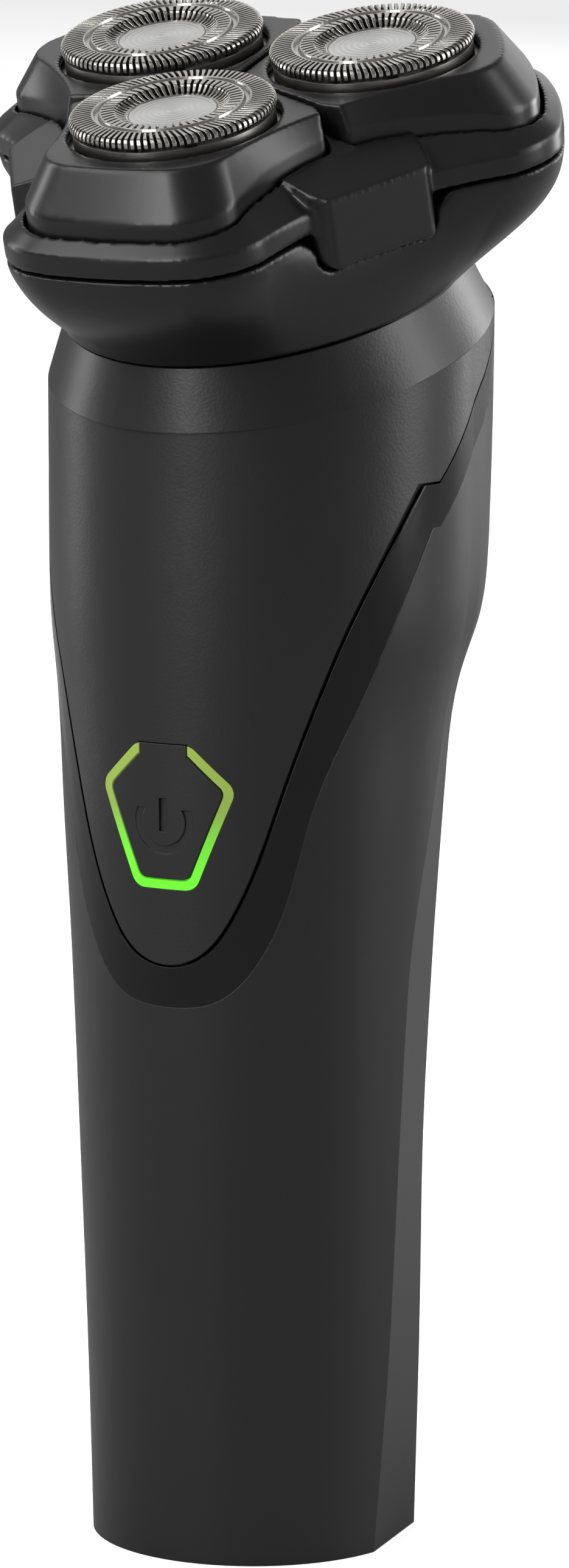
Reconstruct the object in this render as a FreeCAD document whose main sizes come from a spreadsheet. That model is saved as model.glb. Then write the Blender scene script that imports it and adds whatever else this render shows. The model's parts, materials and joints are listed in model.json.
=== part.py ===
import FreeCAD, Part
import Sketcher
import bisect
import math
import os
import re

# Rotary electric shaver, millimetres, +Z up the handle, the front towards -Y.
# The origin is the centre of the flat base.  The shaving head has a frame of its own:
# its origin is the centre of the plane of the three cap discs, its Z axis leans forward
# from the handle, and each of its three lobes points along its own radial direction.

Vector = FreeCAD.Vector
Rotation = FreeCAD.Rotation
Placement = FreeCAD.Placement

doc = FreeCAD.newDocument("rotary_shaver")
nodes = {}

# ---------------------------------------------------------------- driving dimensions

dimensions = {
    # head frame and its three lobes
    "head_tilt": 16.4,
    "head_back": -3.8,
    "head_high": 151.7,
    "lobe_reach": 13.8,
    # shaving cap
    "cap_radius": 10.4,
    "cap_top": 0.75,
    "cap_wall": 0.35,
    "cap_lip": 0.9,
    "cap_rim_round": 0.5,
    "groove_outer": 7.8,
    "groove_inner": 7.3,
    "groove_depth": 0.5,
    "dish_rim": 5.45,
    "disc_radius": 4.42,
    "disc_thick": 0.45,
    "sleeve_radius": 10.15,
    "sleeve_foot": -2.5,
    "flange_radius": 10.85,
    "flange_thick": 0.5,
    "outer_slots": 32,
    "inner_slots": 24,
    "slot_wide": 0.45,
    # rotary cutter
    "web_top": -1.4,
    "web_thick": 0.8,
    "web_radius": 9.3,
    "blade_top": 0.27,
    "blade_count": 9,
    "blade_thick": 0.6,
    "outer_blade_start": 8.15,
    "outer_blade_end": 9.4,
    "inner_blade_start": 5.95,
    "inner_blade_end": 6.95,
    "hub_radius": 3.0,
    "hub_foot": -5.5,
    "hub_flange_radius": 4.5,
    "hub_flange_thick": 0.6,
    "socket_flats": 3.2,
    "socket_top": -1.9,
    "tip_flats": 2.4,
    "tip_top": -3.7,
    "tip_foot": -6.4,
    # gear train
    "gear_module": 0.6,
    "sun_teeth": 18,
    "planet_teeth": 28,
    "gear_top": -15.0,
    "gear_thick": 2.3,
    "gear_backlash": 0.14,
    "spindle_radius": 1.6,
    "shaft_radius": 1.0,
    "axle_radius": 0.9,
    "axle_fit": 0.05,
    # petals that carry the caps
    "petal_top": -1.25,
    "petal_foot": -8.2,
    "petal_wall": 1.0,
    "petal_split": 0.35,
    "facet_tip": 14.9,
    "facet_back": 18.3,
    "facet_half": 1.3,
    "facet_top": -3.7,
    "petal_bore": 10.7,
    "shelf_top": -4.5,
    "shelf_thick": 0.8,
    "shelf_bore": 9.65,
    "hinge_reach": 25.7,
    "hinge_high": -6.9,
    "pin_radius": 0.6,
    "pin_fit": 0.05,
    "lug_half": 4.0,
    "boss_start": 4.3,
    "boss_end": 6.3,
    # head frame and grip tabs
    "frame_foot": -10.9,
    "frame_shoulder": -8.7,
    "frame_crown": -4.5,
    "frame_gap": 0.35,
    "frame_floor": -10.0,
    "frame_ledge": 4.6,
    "tab_face": 24.0,
    "tab_back": 21.9,
    "tab_edge": 22.2,
    "tab_slope_half": 8.4,
    "tab_edge_half": 7.2,
    "tab_face_half": 5.9,
    "tab_slope_start": 17.2,
    "tab_slope_high": -4.9,
    "tab_ridge": -7.5,
    "tab_foot": -14.7,
    "tab_half": 4.4,
    "tab_root": 10.8,
    "tab_gap": 0.25,
    "magnet_reach": 20.0,
    "magnet_radius": 1.5,
    "magnet_thick": 1.0,
    # bowl, gear case and covers
    "bowl_rim": -11.2,
    "bowl_wall": 1.6,
    "bowl_foot": -23.3,
    "bowl_floor": -22.2,
    "bowl_bore": 17.0,
    "spigot_radius": 18.3,
    "spigot_foot": -26.0,
    "cover_top": -13.3,
    "cover_thick": 1.1,
    "case_floor": -17.5,
    "case_foot": -18.4,
    "case_wall": 0.9,
    "pocket_gap": 0.35,
    "motor_radius": 10.0,
    "motor_top": -18.6,
    "motor_length": 26.0,
    # collar of the front cover
    "collar_low": -29.6,
    "collar_high": -23.6,
    "collar_low_wide": 22.35,
    "collar_low_deep": 24.85,
    "collar_low_shift": -0.6,
    "collar_high_wide": 19.8,
    "collar_high_deep": 22.9,
    "collar_high_shift": -0.2,
    "collar_bore": 18.6,
    "collar_floor": -27.0,
    # split line between the front cover and the rear shell
    "seam_back": -1.0,
    "seam_side_high": 110.4,
    "seam_rise": 0.9,
    "band_drop": 4.5,
    "seam_gap": 0.12,
    # power button and light ring
    "ring_stroke": 0.95,
    "button_gap": 0.12,
    "button_back": -17.3,
    "button_hinge_high": 84.9,
    "neck_half": 2.65,
    "light_back": -16.3,
    "symbol_high": 77.0,
    "symbol_radius": 2.85,
    "symbol_stroke": 0.85,
    "symbol_deep": -19.1,
    # inside the handle
    "board_front": -12.0,
    "board_thick": 1.2,
    "board_half": 7.4,
    "board_low": 20.0,
    "board_high": 96.0,
    "plate_thick": 1.2,
    "plate_half": 8.5,
    "battery_radius": 7.0,
    "battery_length": 48.0,
    "battery_low": 14.0,
    "battery_back": 4.0,
    "recess_long": 13.0,
    "recess_wide": 7.0,
    "recess_deep": 5.0,
}

# Outline of one lobe: its reach, then three points of its half as (along it, across it),
# then the reach of the waist half-way to the next lobe.  The points are the end of the
# front arc, the middle of the corner arc and the end of the corner arc.
lobe_outlines = {
    "top": (26.8, (26.4, 5.5), (25.0, 8.2), (22.1, 9.9), 16.9),
    "cone": (31.4, (30.8, 7.4), (29.1, 11.1), (25.9, 13.0), 18.7),
    "base": (29.8, (29.3, 6.6), (27.6, 9.9), (24.3, 11.6), 17.5),
    "crown": (26.6, (26.1, 5.2), (25.0, 7.9), (22.9, 9.2), 16.2),
    "frame": (31.9, (31.2, 7.8), (29.2, 11.8), (25.0, 14.4), 21.8),
    "bowl_rim": (31.9, (31.2, 7.8), (29.2, 11.8), (25.0, 14.4), 21.8),
    "bowl_upper": (31.6, (30.9, 7.8), (28.9, 11.7), (24.8, 14.3), 22.1),
    "bowl_middle": (29.0, (28.2, 6.9), (26.0, 10.6), (22.1, 13.1), 22.4),
    "bowl_lower": (24.9, (24.1, 5.9), (22.4, 9.1), (19.7, 12.0), 21.4),
    "bowl_foot": (20.6, (19.9, 5.0), (19.0, 7.7), (17.5, 10.5), 20.3),
}
outline_points = ("end", "corner", "side")

# Handle sections: height, front, crease (x, y), end of the side facet (x, y), back.
handle_sections = [
    (0, -16.7, 16.15, -4.3, 14.6, 8.0, 16.6),
    (22, -17.2, 17.1, -2.6, 15.4, 7.6, 17.0),
    (41, -17.9, 17.8, -2.1, 15.8, 7.4, 17.4),
    (60, -18.7, 18.5, -1.2, 16.8, 7.4, 18.3),
    (76, -19.4, 19.3, 2.2, 17.9, 7.6, 19.4),
    (86, -19.6, 19.6, 4.6, 18.6, 8.2, 20.3),
    (98, -19.7, 21.2, 6.6, 20.8, 9.8, 26.8),
    (110, -19.6, 21.4, 7.0, 21.1, 9.9, 27.8),
    (126, -19.5, 21.5, 7.2, 21.3, 10.0, 28.1),
    (140, -19.5, 21.5, 7.2, 21.3, 10.0, 28.1),
]
section_names = ("high", "front", "crease_x", "crease_y", "facet_x", "facet_y", "back")

# Hollow of the handle: height, centre y, radius.
hollow_sections = [
    (2.5, 0.4, 13.8),
    (41, 0.0, 15.4),
    (76, 0.0, 17.0),
    (88, 0.4, 17.7),
    (98, 2.6, 19.4),
    (106, 3.1, 19.9),
    (140, 3.3, 20.1),
]

# Front halves of the seam and of the outer edge of the gloss band, as (x, z).
seam_line = [(0.0, 62.2), (3.6, 63.3), (6.9, 67.4), (11.5, 80.0), (16.2, 94.8),
             (20.2, 107.2), (21.0, 110.4)]
band_line = [(0.0, 58.0), (5.3, 58.9), (9.2, 63.0), (13.8, 78.0), (17.9, 90.6),
             (20.8, 102.2), (21.4, 105.9)]

# Centre line of the light ring, right half, as (x, z): foot, corner and open end.
ring_corners = [(3.05, 70.6), (7.05, 80.4), (2.9, 84.4)]

for name, (reach, *points, waist) in lobe_outlines.items():
    dimensions[name + "_reach"] = reach
    dimensions[name + "_waist"] = waist
    for key, (along, across) in zip(outline_points, points):
        dimensions[name + "_" + key + "_along"] = along
        dimensions[name + "_" + key + "_across"] = across
for index, section in enumerate(handle_sections):
    for key, value in zip(section_names, section):
        dimensions["handle_" + key + "_" + str(index)] = value
for index, section in enumerate(hollow_sections):
    for key, value in zip(("high", "back", "radius"), section):
        dimensions["hollow_" + key + "_" + str(index)] = value

sheet = doc.addObject("Spreadsheet::Sheet", "dims")
for row, (alias, value) in enumerate(dimensions.items(), start=1):
    sheet.set("A" + str(row), alias)
    sheet.set("B" + str(row), str(value))
    sheet.setAlias("B" + str(row), alias)
doc.recompute()


def dim(alias):
    return float(sheet.get(alias))


def cells(text):
    """Turn plain aliases in a formula into references to the sheet's cells."""
    return re.sub(r"[a-z_][a-z_0-9]*", lambda found: "dims." + found.group()
                  if found.group() in dimensions else found.group(), str(text))


def value(text):
    """Work out a formula of aliases as a number."""
    probe.setExpression("Length", "1000 + " + cells(text))
    probe.recompute()
    return float(probe.Length) - 1000


probe = doc.addObject("Part::Box", "probe")

# ---------------------------------------------------------------- helpers

def spare_name(kind):
    """A spare name for a construction solid."""
    spare_name.count += 1
    return kind + "_" + str(spare_name.count)


spare_name.count = 0


def place(thing, at=(0, 0, 0)):
    for axis, formula in zip("xyz", at):
        thing.setExpression("Placement.Base." + axis, cells(formula))
    return thing


def box(size, at):
    """A box with bound sizes; 'at' is its low corner."""
    thing = doc.addObject("Part::Box", spare_name("box"))
    for side, formula in zip(("Length", "Width", "Height"), size):
        thing.setExpression(side, cells(formula))
    return place(thing, at)


def rod(radius, high, at, turn=None):
    """A cylinder with bound sizes; 'at' is the centre of its foot."""
    thing = doc.addObject("Part::Cylinder", spare_name("rod"))
    thing.setExpression("Radius", cells(radius))
    thing.setExpression("Height", cells(high))
    if turn is not None:
        thing.Placement = Placement(Vector(), turn)
    return place(thing, at)


def prism(sides, flats, high, at):
    """A regular prism; 'flats' is the distance across its flats."""
    thing = doc.addObject("Part::Prism", spare_name("prism"))
    thing.Polygon = sides
    thing.setExpression("Circumradius", cells("(" + flats + ") / 2 / cos(180 deg / " + str(sides) + ")"))
    thing.setExpression("Height", cells(high))
    return place(thing, at)


def fuse(*things):
    result = doc.addObject("Part::MultiFuse", spare_name("fuse"))
    result.Shapes = list(things)
    result.Refine = False
    return result


def cut(base, *tools):
    result = doc.addObject("Part::Cut", spare_name("cut"))
    result.Base = base
    result.Tool = tools[0] if len(tools) == 1 else fuse(*tools)
    return result


def common(first, second):
    result = doc.addObject("Part::MultiCommon", spare_name("common"))
    result.Shapes = [first, second]
    return result


def solid(shape):
    """A construction solid whose free-form skin is worked out here from the sheet."""
    thing = doc.addObject("Part::Feature", spare_name("skin"))
    thing.Shape = shape
    return thing


bound_primitives = ("Part::Box", "Part::Cylinder", "Part::Prism")


def fuse_one(thing):
    """Hold one primitive, whose own place is bound, so that the whole can be moved."""
    holder = doc.addObject("Part::Compound", spare_name("held"))
    holder.Links = [thing]
    return holder


def node(label, thing, placement=None):
    """Register a finished piece under its own name."""
    if placement is not None:
        if thing.TypeId in bound_primitives:
            thing = fuse_one(thing)
        thing.Placement = placement.multiply(thing.Placement)
    thing.Label = label
    nodes[label] = thing
    return thing


head_turn = Rotation(Vector(1, 0, 0), dim("head_tilt"))
head = Placement(Vector(0, dim("head_back"), dim("head_high")), head_turn)
lobe_angles = {"1": -90, "2": 30, "3": 150}
tab_angles = (-30, 90, 210)


def lobe(name):
    """The frame of one lobe: its X axis points out along the lobe."""
    turn = Rotation(Vector(0, 0, 1), lobe_angles[name])
    return head.multiply(Placement(Vector(), turn))


def body_of(label):
    return doc.addObject("PartDesign::Body", label)


def plane_of(body, role):
    for feature in body.Origin.OriginFeatures:
        if feature.Role == role:
            return feature
    raise ValueError(role)


def sketch_on(body, role, name):
    sketch = body.newObject("Sketcher::SketchObject", name)
    sketch.AttachmentSupport = [(plane_of(body, role), "")]
    sketch.MapMode = "FlatFace"
    return sketch


def closed_outline(sketch, corners):
    """A closed polygon whose corners are bound formulas (right, up)."""
    spots = [(value(right), value(up)) for right, up in corners]
    count = len(spots)
    for index, (right, up) in enumerate(spots):
        following = spots[(index + 1) % count]
        side = Part.LineSegment(Vector(right, up, 0), Vector(following[0], following[1], 0))
        sketch.addGeometry(side, False)
    for index in range(count):
        sketch.addConstraint(Sketcher.Constraint("Coincident", index, 2, (index + 1) % count, 1))
    for index, (right, up) in enumerate(corners):
        for kind, spot, formula in (("DistanceX", 0, right), ("DistanceY", 1, up)):
            constraint = Sketcher.Constraint(kind, -1, 1, index, 1, spots[index][spot])
            number = sketch.addConstraint(constraint)
            sketch.setExpression("Constraints[" + str(number) + "]", cells(formula))
    return sketch


def turned(label, corners):
    """A body turned about its own Z axis from a bound outline (radius, height)."""
    body = body_of(label)
    sketch = closed_outline(sketch_on(body, "XZ_Plane", label + "_outline"), corners)
    doc.recompute()
    turn = body.newObject("PartDesign::Revolution", label + "_turn")
    turn.Profile = sketch
    turn.ReferenceAxis = (sketch, ["V_Axis"])
    turn.Angle = 360
    body.Tip = turn
    doc.recompute()
    return body


def ring_of(body, feature, count, label):
    """Repeat a feature evenly about the body's Z axis."""
    pattern = body.newObject("PartDesign::PolarPattern", label)
    pattern.Originals = [feature]
    pattern.Axis = (plane_of(body, "Z_Axis"), [""])
    pattern.Angle = 360
    pattern.setExpression("Occurrences", cells(count))
    body.Tip = pattern
    doc.recompute()
    return pattern


# ---------------------------------------------------------------- outlines and skins

def half_lobe(name, inset):
    """The four points of half a lobe outline, moved inwards by 'inset'."""
    front = Vector(dim(name + "_reach"), 0, 0)
    points = [front]
    for key in outline_points:
        along, across = dim(name + "_" + key + "_along"), dim(name + "_" + key + "_across")
        points.append(Vector(along, across, 0))
    middle = Vector(dim("lobe_reach"), 0, 0)
    moved = []
    for point in points:
        away = (point - middle).normalize()
        moved.append(point - away * inset)
    moved.append(Rotation(Vector(0, 0, 1), 60).multVec(Vector(dim(name + "_waist") - inset, 0, 0)))
    return moved


def lobed_wire(name, high, inset=0.0, stretch=1.0, shift=0.0):
    """The three-lobed outline, in the head frame, at a height along its axis."""
    def settle(point):
        return Vector(point.x, point.y * stretch + shift, high)

    front, end, corner, side, waist = half_lobe(name, inset)
    edges = []
    for angle in (-90, 30, 150):
        turn = Rotation(Vector(0, 0, 1), angle)
        onward = Rotation(Vector(0, 0, 1), angle + 120)
        mirror = [Vector(point.x, -point.y, 0) for point in (end, corner, side)]
        chain = [turn.multVec(point) for point in (mirror[0], front, end, corner, side, waist)]
        chain.append(onward.multVec(mirror[2]))
        chain.append(onward.multVec(mirror[1]))
        chain.append(onward.multVec(mirror[0]))
        chain = [settle(point) for point in chain]
        for start in (0, 2, 4, 6):
            edges.append(Part.Arc(chain[start], chain[start + 1], chain[start + 2]).toShape())
    return Part.Wire(edges)


def loft(wires, ruled=False, degree=3):
    return Part.makeLoft(wires, True, ruled, False, degree)


def lobed_prism(name, low, high, inset=0.0):
    wires = [lobed_wire(name, low, inset), lobed_wire(name, high, inset)]
    return loft(wires, True)


def smooth(spots, values, spot):
    """Monotone cubic through a table, so that a skin has no ripples between its sections."""
    count = len(spots)
    gaps = [spots[index + 1] - spots[index] for index in range(count - 1)]
    slopes = [(values[index + 1] - values[index]) / gaps[index] for index in range(count - 1)]
    tangents = [slopes[0]]
    for index in range(1, count - 1):
        before, after = slopes[index - 1], slopes[index]
        if before * after <= 0:
            tangents.append(0.0)
            continue
        weight_before = 2 * gaps[index] + gaps[index - 1]
        weight_after = gaps[index] + 2 * gaps[index - 1]
        tangents.append((weight_before + weight_after) / (weight_before / before + weight_after / after))
    tangents.append(slopes[-1])
    index = min(max(bisect.bisect(spots, spot) - 1, 0), count - 2)
    along = (spot - spots[index]) / gaps[index]
    low, high = values[index], values[index + 1]
    curve_low = (1 + 2 * along) * (1 - along) ** 2
    curve_high = along * along * (3 - 2 * along)
    lean_low = along * (1 - along) ** 2
    lean_high = along * along * (along - 1)
    lean = gaps[index] * (tangents[index] * lean_low + tangents[index + 1] * lean_high)
    return low * curve_low + high * curve_high + lean


section_step = 5
section_heights = [section_step * index for index in range(29)]


def handle_wire(high):
    """One section of the handle: front arc, flat side facets and back arc."""
    count = len(handle_sections)
    spots = [dim("handle_high_" + str(index)) for index in range(count)]
    read = {}
    for key in section_names[1:]:
        column = [dim("handle_" + key + "_" + str(index)) for index in range(count)]
        read[key] = smooth(spots, column, high)
    crease = Vector(read["crease_x"], read["crease_y"], high)
    facet = Vector(read["facet_x"], read["facet_y"], high)
    crease_left = Vector(-crease.x, crease.y, high)
    facet_left = Vector(-facet.x, facet.y, high)
    front = Vector(0, read["front"], high)
    back = Vector(0, read["back"], high)
    return Part.Wire([
        Part.Arc(crease, front, crease_left).toShape(),
        Part.LineSegment(crease_left, facet_left).toShape(),
        Part.Arc(facet_left, back, facet).toShape(),
        Part.LineSegment(facet, crease).toShape(),
    ])


def hollow_wire(high):
    count = len(hollow_sections)
    spots = [dim("hollow_high_" + str(index)) for index in range(count)]
    back, radius = [
        smooth(spots, [dim("hollow_" + key + "_" + str(index)) for index in range(count)], high)
        for key in ("back", "radius")
    ]
    return Part.Wire(Part.Circle(Vector(0, back, high), Vector(0, 0, 1), radius).toShape())


def ellipse_wire(wide, deep, shift, high):
    """An ellipse across the head frame, its long axis front to back."""
    curve = Part.Ellipse(Vector(0, shift, high), deep, wide)
    curve.XAxis = Vector(0, 1, 0)
    return Part.Wire(curve.toShape())


def half_space(low, high):
    """A slab across the head frame, wide enough to cut anything."""
    reach = 80
    slab = Part.makeBox(2 * reach, 2 * reach, high - low, Vector(-reach, -reach, low))
    slab.Placement = head.multiply(slab.Placement)
    return slab


def front_region(line, spread, drop=0.0, margin=0.0):
    """Everything above a seam: a front view outline pushed back to the sides, then a wedge.

    The margin moves the faces that lie outside the handle, so that two regions share none."""
    front = -40.0 - margin
    top = 170.0 + margin
    wide = 60.0 + margin
    seam_back = dim("seam_back") + margin
    right = [Vector(x + spread if x else 0, 0, z - spread) for x, z in line]
    left = [Vector(-point.x, 0, point.z) for point in reversed(right[1:])]
    curve = Part.BSplineCurve()
    curve.interpolate(left + right)
    ends = [right[-1], Vector(wide, 0, right[-1].z), Vector(wide, 0, top), Vector(-wide, 0, top),
            Vector(-wide, 0, right[-1].z), left[0]]
    edges = [curve.toShape()]
    for start, stop in zip(ends, ends[1:]):
        edges.append(Part.LineSegment(start, stop).toShape())
    face = Part.Face(Part.Wire(edges))
    face.translate(Vector(0, front, 0))
    ahead = face.extrude(Vector(0, seam_back - front, 0))
    level = dim("seam_side_high") - drop - spread
    behind = 60.0
    level_behind = level + dim("seam_rise") * (behind - seam_back)
    corners = [Vector(-wide, seam_back, level), Vector(-wide, behind, level_behind),
               Vector(-wide, behind, top), Vector(-wide, seam_back, top)]
    wedge = Part.Face(Part.makePolygon(corners + corners[:1])).extrude(Vector(2 * wide, 0, 0))
    return ahead.fuse(wedge)


# ---------------------------------------------------------------- handle shells

handle_skin = loft([handle_wire(high) for high in section_heights], degree=5)
hollow_skin = loft([hollow_wire(high) for high in [2.5] + section_heights[2:]], degree=5)
hollow_skin = hollow_skin.common(half_space(-200, dim("collar_floor")))
below_collar = half_space(-200, dim("collar_low"))

collar_rings = []
for level in ("collar_low", "collar_high"):
    wide, deep, shift = dim(level + "_wide"), dim(level + "_deep"), dim(level + "_shift")
    collar_rings.append(ellipse_wire(wide, deep, shift, dim(level)))
collar_skin = loft(collar_rings, True)
collar_skin.Placement = head

body_skin = handle_skin.common(below_collar)
seam_above = front_region(seam_line, -dim("seam_gap"))
seam_below = front_region(seam_line, dim("seam_gap"), margin=0.1)
band_above = front_region(band_line, 0.0, drop=dim("band_drop"), margin=0.2)


ahead = -40.0


def ring_face(grow):
    """The closed outline of the light ring, its line moved out by 'grow', as a face."""
    middle = Vector(0, 0, 77.6)
    right = [Vector(x, 0, z) for x, z in ring_corners]
    left = [Vector(-point.x, 0, point.z) for point in reversed(right)]
    corners = []
    loop = right + left
    count = len(loop)
    for index, point in enumerate(loop):
        before = (point - loop[index - 1]).normalize()
        after = (loop[(index + 1) % count] - point).normalize()
        out_before = Vector(before.z, 0, -before.x)
        out_after = Vector(after.z, 0, -after.x)
        if out_before.dot(point - middle) < 0:
            out_before = out_before * -1
        if out_after.dot(point - middle) < 0:
            out_after = out_after * -1
        share = (out_before + out_after).normalize()
        corners.append(point + share * (grow / share.dot(out_before)))
    wire = Part.makePolygon(corners + corners[:1])
    face = Part.Face(wire)
    face.translate(Vector(0, ahead, 0))
    return face


def rounded_prism(grow, radius, back):
    """The ring outline pushed back from the front, its long edges rounded."""
    block = ring_face(grow).extrude(Vector(0, back - ahead, 0))
    edges = [edge for edge in block.Edges
             if abs(edge.tangentAt(edge.FirstParameter).y) > 0.99]
    return block.makeFillet(radius, edges)


half_stroke = dim("ring_stroke") / 2
neck_low = 80.0
ring_hole = rounded_prism(half_stroke, 1.6, -10)
neck_top = dim("button_hinge_high")
neck_gap = 0.1
neck_hole = Part.makeBox(2 * (dim("neck_half") + neck_gap), 30, neck_top + neck_gap - neck_low,
                         Vector(-dim("neck_half") - neck_gap, ahead, neck_low))

front_cover_shape = body_skin.common(seam_above).cut(hollow_skin)
front_cover_shape = front_cover_shape.fuse(collar_skin)
collar_hole = Part.makeCylinder(dim("collar_bore"), 40, Vector(0, 0, -40))
collar_hole.Placement = head
front_cover_shape = front_cover_shape.cut([hollow_skin, collar_hole, ring_hole, neck_hole])
node("front_cover", solid(front_cover_shape))

gloss_band_shape = body_skin.common(band_above.cut(seam_below)).cut(hollow_skin)
node("gloss_band", solid(gloss_band_shape))

recess = box(("recess_long", "recess_wide", "recess_deep + 1"),
             ("-recess_long / 2", "-recess_wide / 2", "-1"))
port = box(("9.2", "3.4", "8"), ("-4.6", "-1.7", "1"))
pocket_wall = box(("recess_long + 2.4", "recess_wide + 2.4", "recess_deep + 1.2"),
                  ("-recess_long / 2 - 1.2", "-recess_wide / 2 - 1.2", "0"))
rear_wall = solid(body_skin.cut([hollow_skin, band_above]))
node("rear_shell", cut(fuse(rear_wall, pocket_wall), recess, port))

# ---------------------------------------------------------------- button and light ring

button_gap = dim("button_gap")
button_face = rounded_prism(-half_stroke - button_gap, 1.0, dim("button_back"))
neck = Part.makeBox(2 * dim("neck_half"), dim("button_back") - ahead, neck_top - neck_low,
                    Vector(-dim("neck_half"), ahead, neck_low))
symbol_high = dim("symbol_high")
symbol_stroke = dim("symbol_stroke")
symbol_floor = Vector(0, dim("symbol_deep"), symbol_high)


def symbol_disc(radius):
    return Part.makeCylinder(radius, 40, symbol_floor, Vector(0, -1, 0))


symbol_ring = symbol_disc(dim("symbol_radius") + symbol_stroke / 2)
symbol_ring = symbol_ring.cut(symbol_disc(dim("symbol_radius") - symbol_stroke / 2))
symbol_gap_low = symbol_high + 1.3
symbol_ring = symbol_ring.cut(Part.makeBox(8, 60, 6, Vector(-4, -60, symbol_gap_low)))
symbol_bar = Part.makeBox(symbol_stroke, 20, 3.4,
                          Vector(-symbol_stroke / 2, dim("symbol_deep") - 20, symbol_high - 1.0))
button_shape = handle_skin.common(button_face.fuse(neck)).cut([symbol_ring, symbol_bar])
press_post = Part.makeBox(3, 1.0, 3, Vector(-1.5, dim("button_back") - 0.4, symbol_high - 1.5))
node("power_button", solid(button_shape.fuse(press_post)))

ring_outer = rounded_prism(half_stroke - 0.03, 1.6, dim("light_back"))
ring_inner = rounded_prism(-half_stroke + 0.03, 1.05, 0)
light_shape = handle_skin.common(ring_outer.cut([ring_inner, neck_hole]))
node("light_guide", solid(light_shape))

# ---------------------------------------------------------------- inside the handle

board_back = "board_front + board_thick"
forward = Rotation(Vector(1, 0, 0), 90)
screw_places = [(across, high) for across in ("-5", "5") for high in ("30", "91")]


def screw_holes(deep):
    """The holes of the board's screws, from its front to a depth behind it."""
    return [rod("0.8", deep + " + 1", (across, "board_front + " + deep, high), forward)
            for across, high in screw_places]


board = box(("2 * board_half", "board_thick", "board_high - board_low"),
            ("-board_half", "board_front", "board_low"))
node("circuit_board", cut(board, *screw_holes("1.5")))

switch_body = box(("4.6", "1.9", "4.6"), ("-2.3", "board_front - 1.9", "symbol_high - 2.3"))
switch_stem = rod("1.1", "4.2", ("0", "board_front", "symbol_high"), Rotation(Vector(1, 0, 0), 90))
node("tact_switch", fuse(switch_body, switch_stem))

lights = [box(("1.6", "0.7", "1.6"), (across + " - 0.8", "board_front - 0.7", high))
          for across, high in (("-5.5", "79"), ("5.5", "79"), ("-3.6", "70"), ("3.6", "70"))]
node("light_leds", fuse(*lights))

plate = box(("2 * plate_half", "plate_thick", "board_high + 2 - 8"),
            ("-plate_half", "board_front + board_thick + 0.6", "8"))
posts = [box(("2.4", "0.6", "2.4"), (across + " - 1.2", board_back, high + " - 1.2"))
         for across, high in screw_places]
cradles = []
for low in ("battery_low + 6", "battery_low + 34"):
    clip = cut(rod("battery_radius + 1.2", "8", ("0", "battery_back", low)),
               rod("battery_radius + 0.05", "8", ("0", "battery_back", low)),
               box(("30", "20", "8"), ("-15", "battery_back + 1", low)))
    web = box(("3", "battery_back - battery_radius + 9.2", "8"), ("-1.5", "-9.8", low))
    cradles += [clip, web]
node("chassis", cut(fuse(plate, *posts, *cradles), *screw_holes("2.6")))

board_screws = []
for across, high in screw_places:
    shank = rod("0.8", "2.9", (across, "board_front + 2.4", high), forward)
    screw_head = rod("1.4", "0.8", (across, "board_front", high), forward)
    board_screws.append(fuse(shank, screw_head))
node("board_screws", fuse(*board_screws))

battery = fuse(rod("battery_radius", "battery_length", ("0", "battery_back", "battery_low")),
               rod("2.6", "0.9", ("0", "battery_back", "battery_low + battery_length")))
node("battery_cell", battery)
tabs = [box(("4", "5", "0.3"), ("-2", "battery_back - 2.5", "battery_low - 0.3")),
        box(("4", "5", "0.3"), ("-2", "battery_back - 2.5", "battery_low + battery_length + 0.9"))]
node("battery_tabs", fuse(*tabs))

socket = cut(box(("9", "3.2", "7.3"), ("-4.5", "-1.6", "recess_deep + 0.2")),
             box(("8.4", "2.6", "6.2"), ("-4.2", "-1.3", "recess_deep + 0.2")))
tongue = box(("6.6", "0.7", "5.2"), ("-3.3", "-0.35", "recess_deep + 1.4"))
node("charge_socket", fuse(socket, tongue))
seal = cut(box(("11.4", "5.6", "1.0"), ("-5.7", "-2.8", "recess_deep + 1.25")),
           box(("9.04", "3.24", "1.0"), ("-4.52", "-1.62", "recess_deep + 1.25")))
node("socket_seal", seal)

# ---------------------------------------------------------------- grip tabs of the head frame


def tab_face(grow):
    """Front view of a grip tab: a shield that narrows in S-curves to its foot."""
    root, half = dim("tab_root") + grow, dim("tab_half") + grow
    foot, top = dim("tab_foot") - grow, dim("frame_crown")
    split = dim("frame_foot")
    middle = half + 2.6
    turn_high = (foot + split) / 2
    right = [(root, split), (middle + 1.5, split - 0.5), (middle, turn_high),
             (middle - 0.6, foot + 0.35), (half - 0.4, foot)]
    edges = []
    for side in (1, -1):
        spots = [Vector(0, side * across, high) for across, high in right]
        edges.append(Part.Arc(spots[0], spots[1], spots[2]).toShape())
        edges.append(Part.Arc(spots[2], spots[3], spots[4]).toShape())
        edges.append(Part.LineSegment(spots[0], Vector(0, side * root, top)).toShape())
    edges.append(Part.LineSegment(Vector(0, -root, top), Vector(0, root, top)).toShape())
    last = half - 0.4
    edges.append(Part.LineSegment(Vector(0, -last, foot), Vector(0, last, foot)).toShape())
    wire = Part.Wire(Part.__sortEdges__(edges))
    return Part.Face(wire)


def tab_openings(grow, start, stop):
    """The room for the three grip tabs, between two distances from the head axis."""
    blocks = []
    for angle in tab_angles:
        face = tab_face(grow)
        face.translate(Vector(start, 0, 0))
        block = face.extrude(Vector(stop - start, 0, 0))
        block.Placement = Placement(Vector(), Rotation(Vector(0, 0, 1), angle))
        blocks.append(block)
    return blocks


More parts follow.
